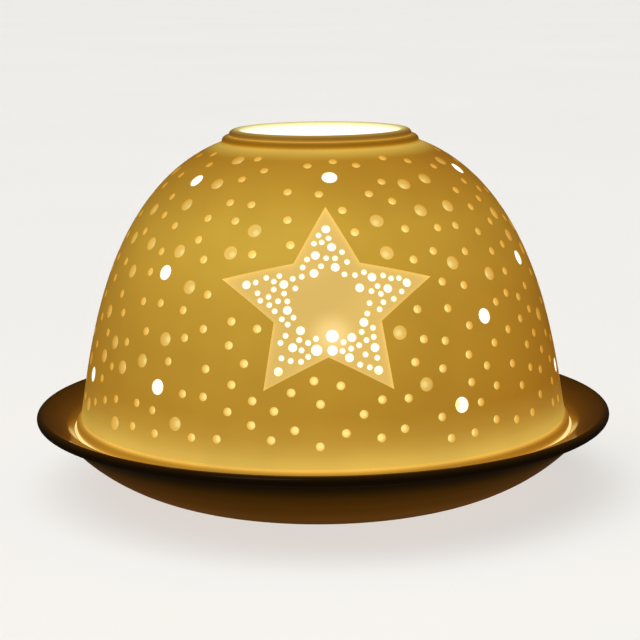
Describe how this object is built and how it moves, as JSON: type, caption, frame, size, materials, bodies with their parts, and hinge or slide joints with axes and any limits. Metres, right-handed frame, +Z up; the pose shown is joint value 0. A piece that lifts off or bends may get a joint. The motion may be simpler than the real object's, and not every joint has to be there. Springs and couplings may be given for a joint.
{
  "type": "tealight holder",
  "caption": "Domed tealight holder: a pierced translucent porcelain dome with a star stands on a footed saucer over a tealight.",
  "frame": {"origin": "middle of the saucer's foot ring, on the surface it stands on", "axes": "+Z up along the axis of the saucer and dome, -Y towards the front, where the dome's star is, +X to the star's right as seen from the front"},
  "size_m": [0.12, 0.12, 0.075],
  "materials": {
    "glazed_porcelain": "brown gloss glaze over porcelain, pale well, unglazed foot ring",
    "bisque_porcelain": "unglazed, smooth-sanded translucent porcelain, amber when lit from inside",
    "aluminium_cup": "deep-drawn foil",
    "candle_wax": "cast paraffin wax, melted round the wick",
    "tinned_steel": "stamped and tinned",
    "cotton_wick": "braided cotton, charred at the tip"
  },
  "bodies": {
    "saucer": {"saucer": "glazed_porcelain"},
    "dome": {"dome": "bisque_porcelain"},
    "tealight": {"tealight_cup": "aluminium_cup", "tealight_wax": "candle_wax", "wick_sustainer": "tinned_steel", "wick": "cotton_wick"}
  },
  "joints": [
    {"name": "dome_lift", "type": "slide", "parent": "saucer", "child": "dome", "axis": [0, 0, 1], "range_m": [0, 0.07]},
    {"name": "tealight_lift", "type": "slide", "parent": "saucer", "child": "tealight", "axis": [0, 0, 1], "range_m": [0, 0.035]}
  ]
}
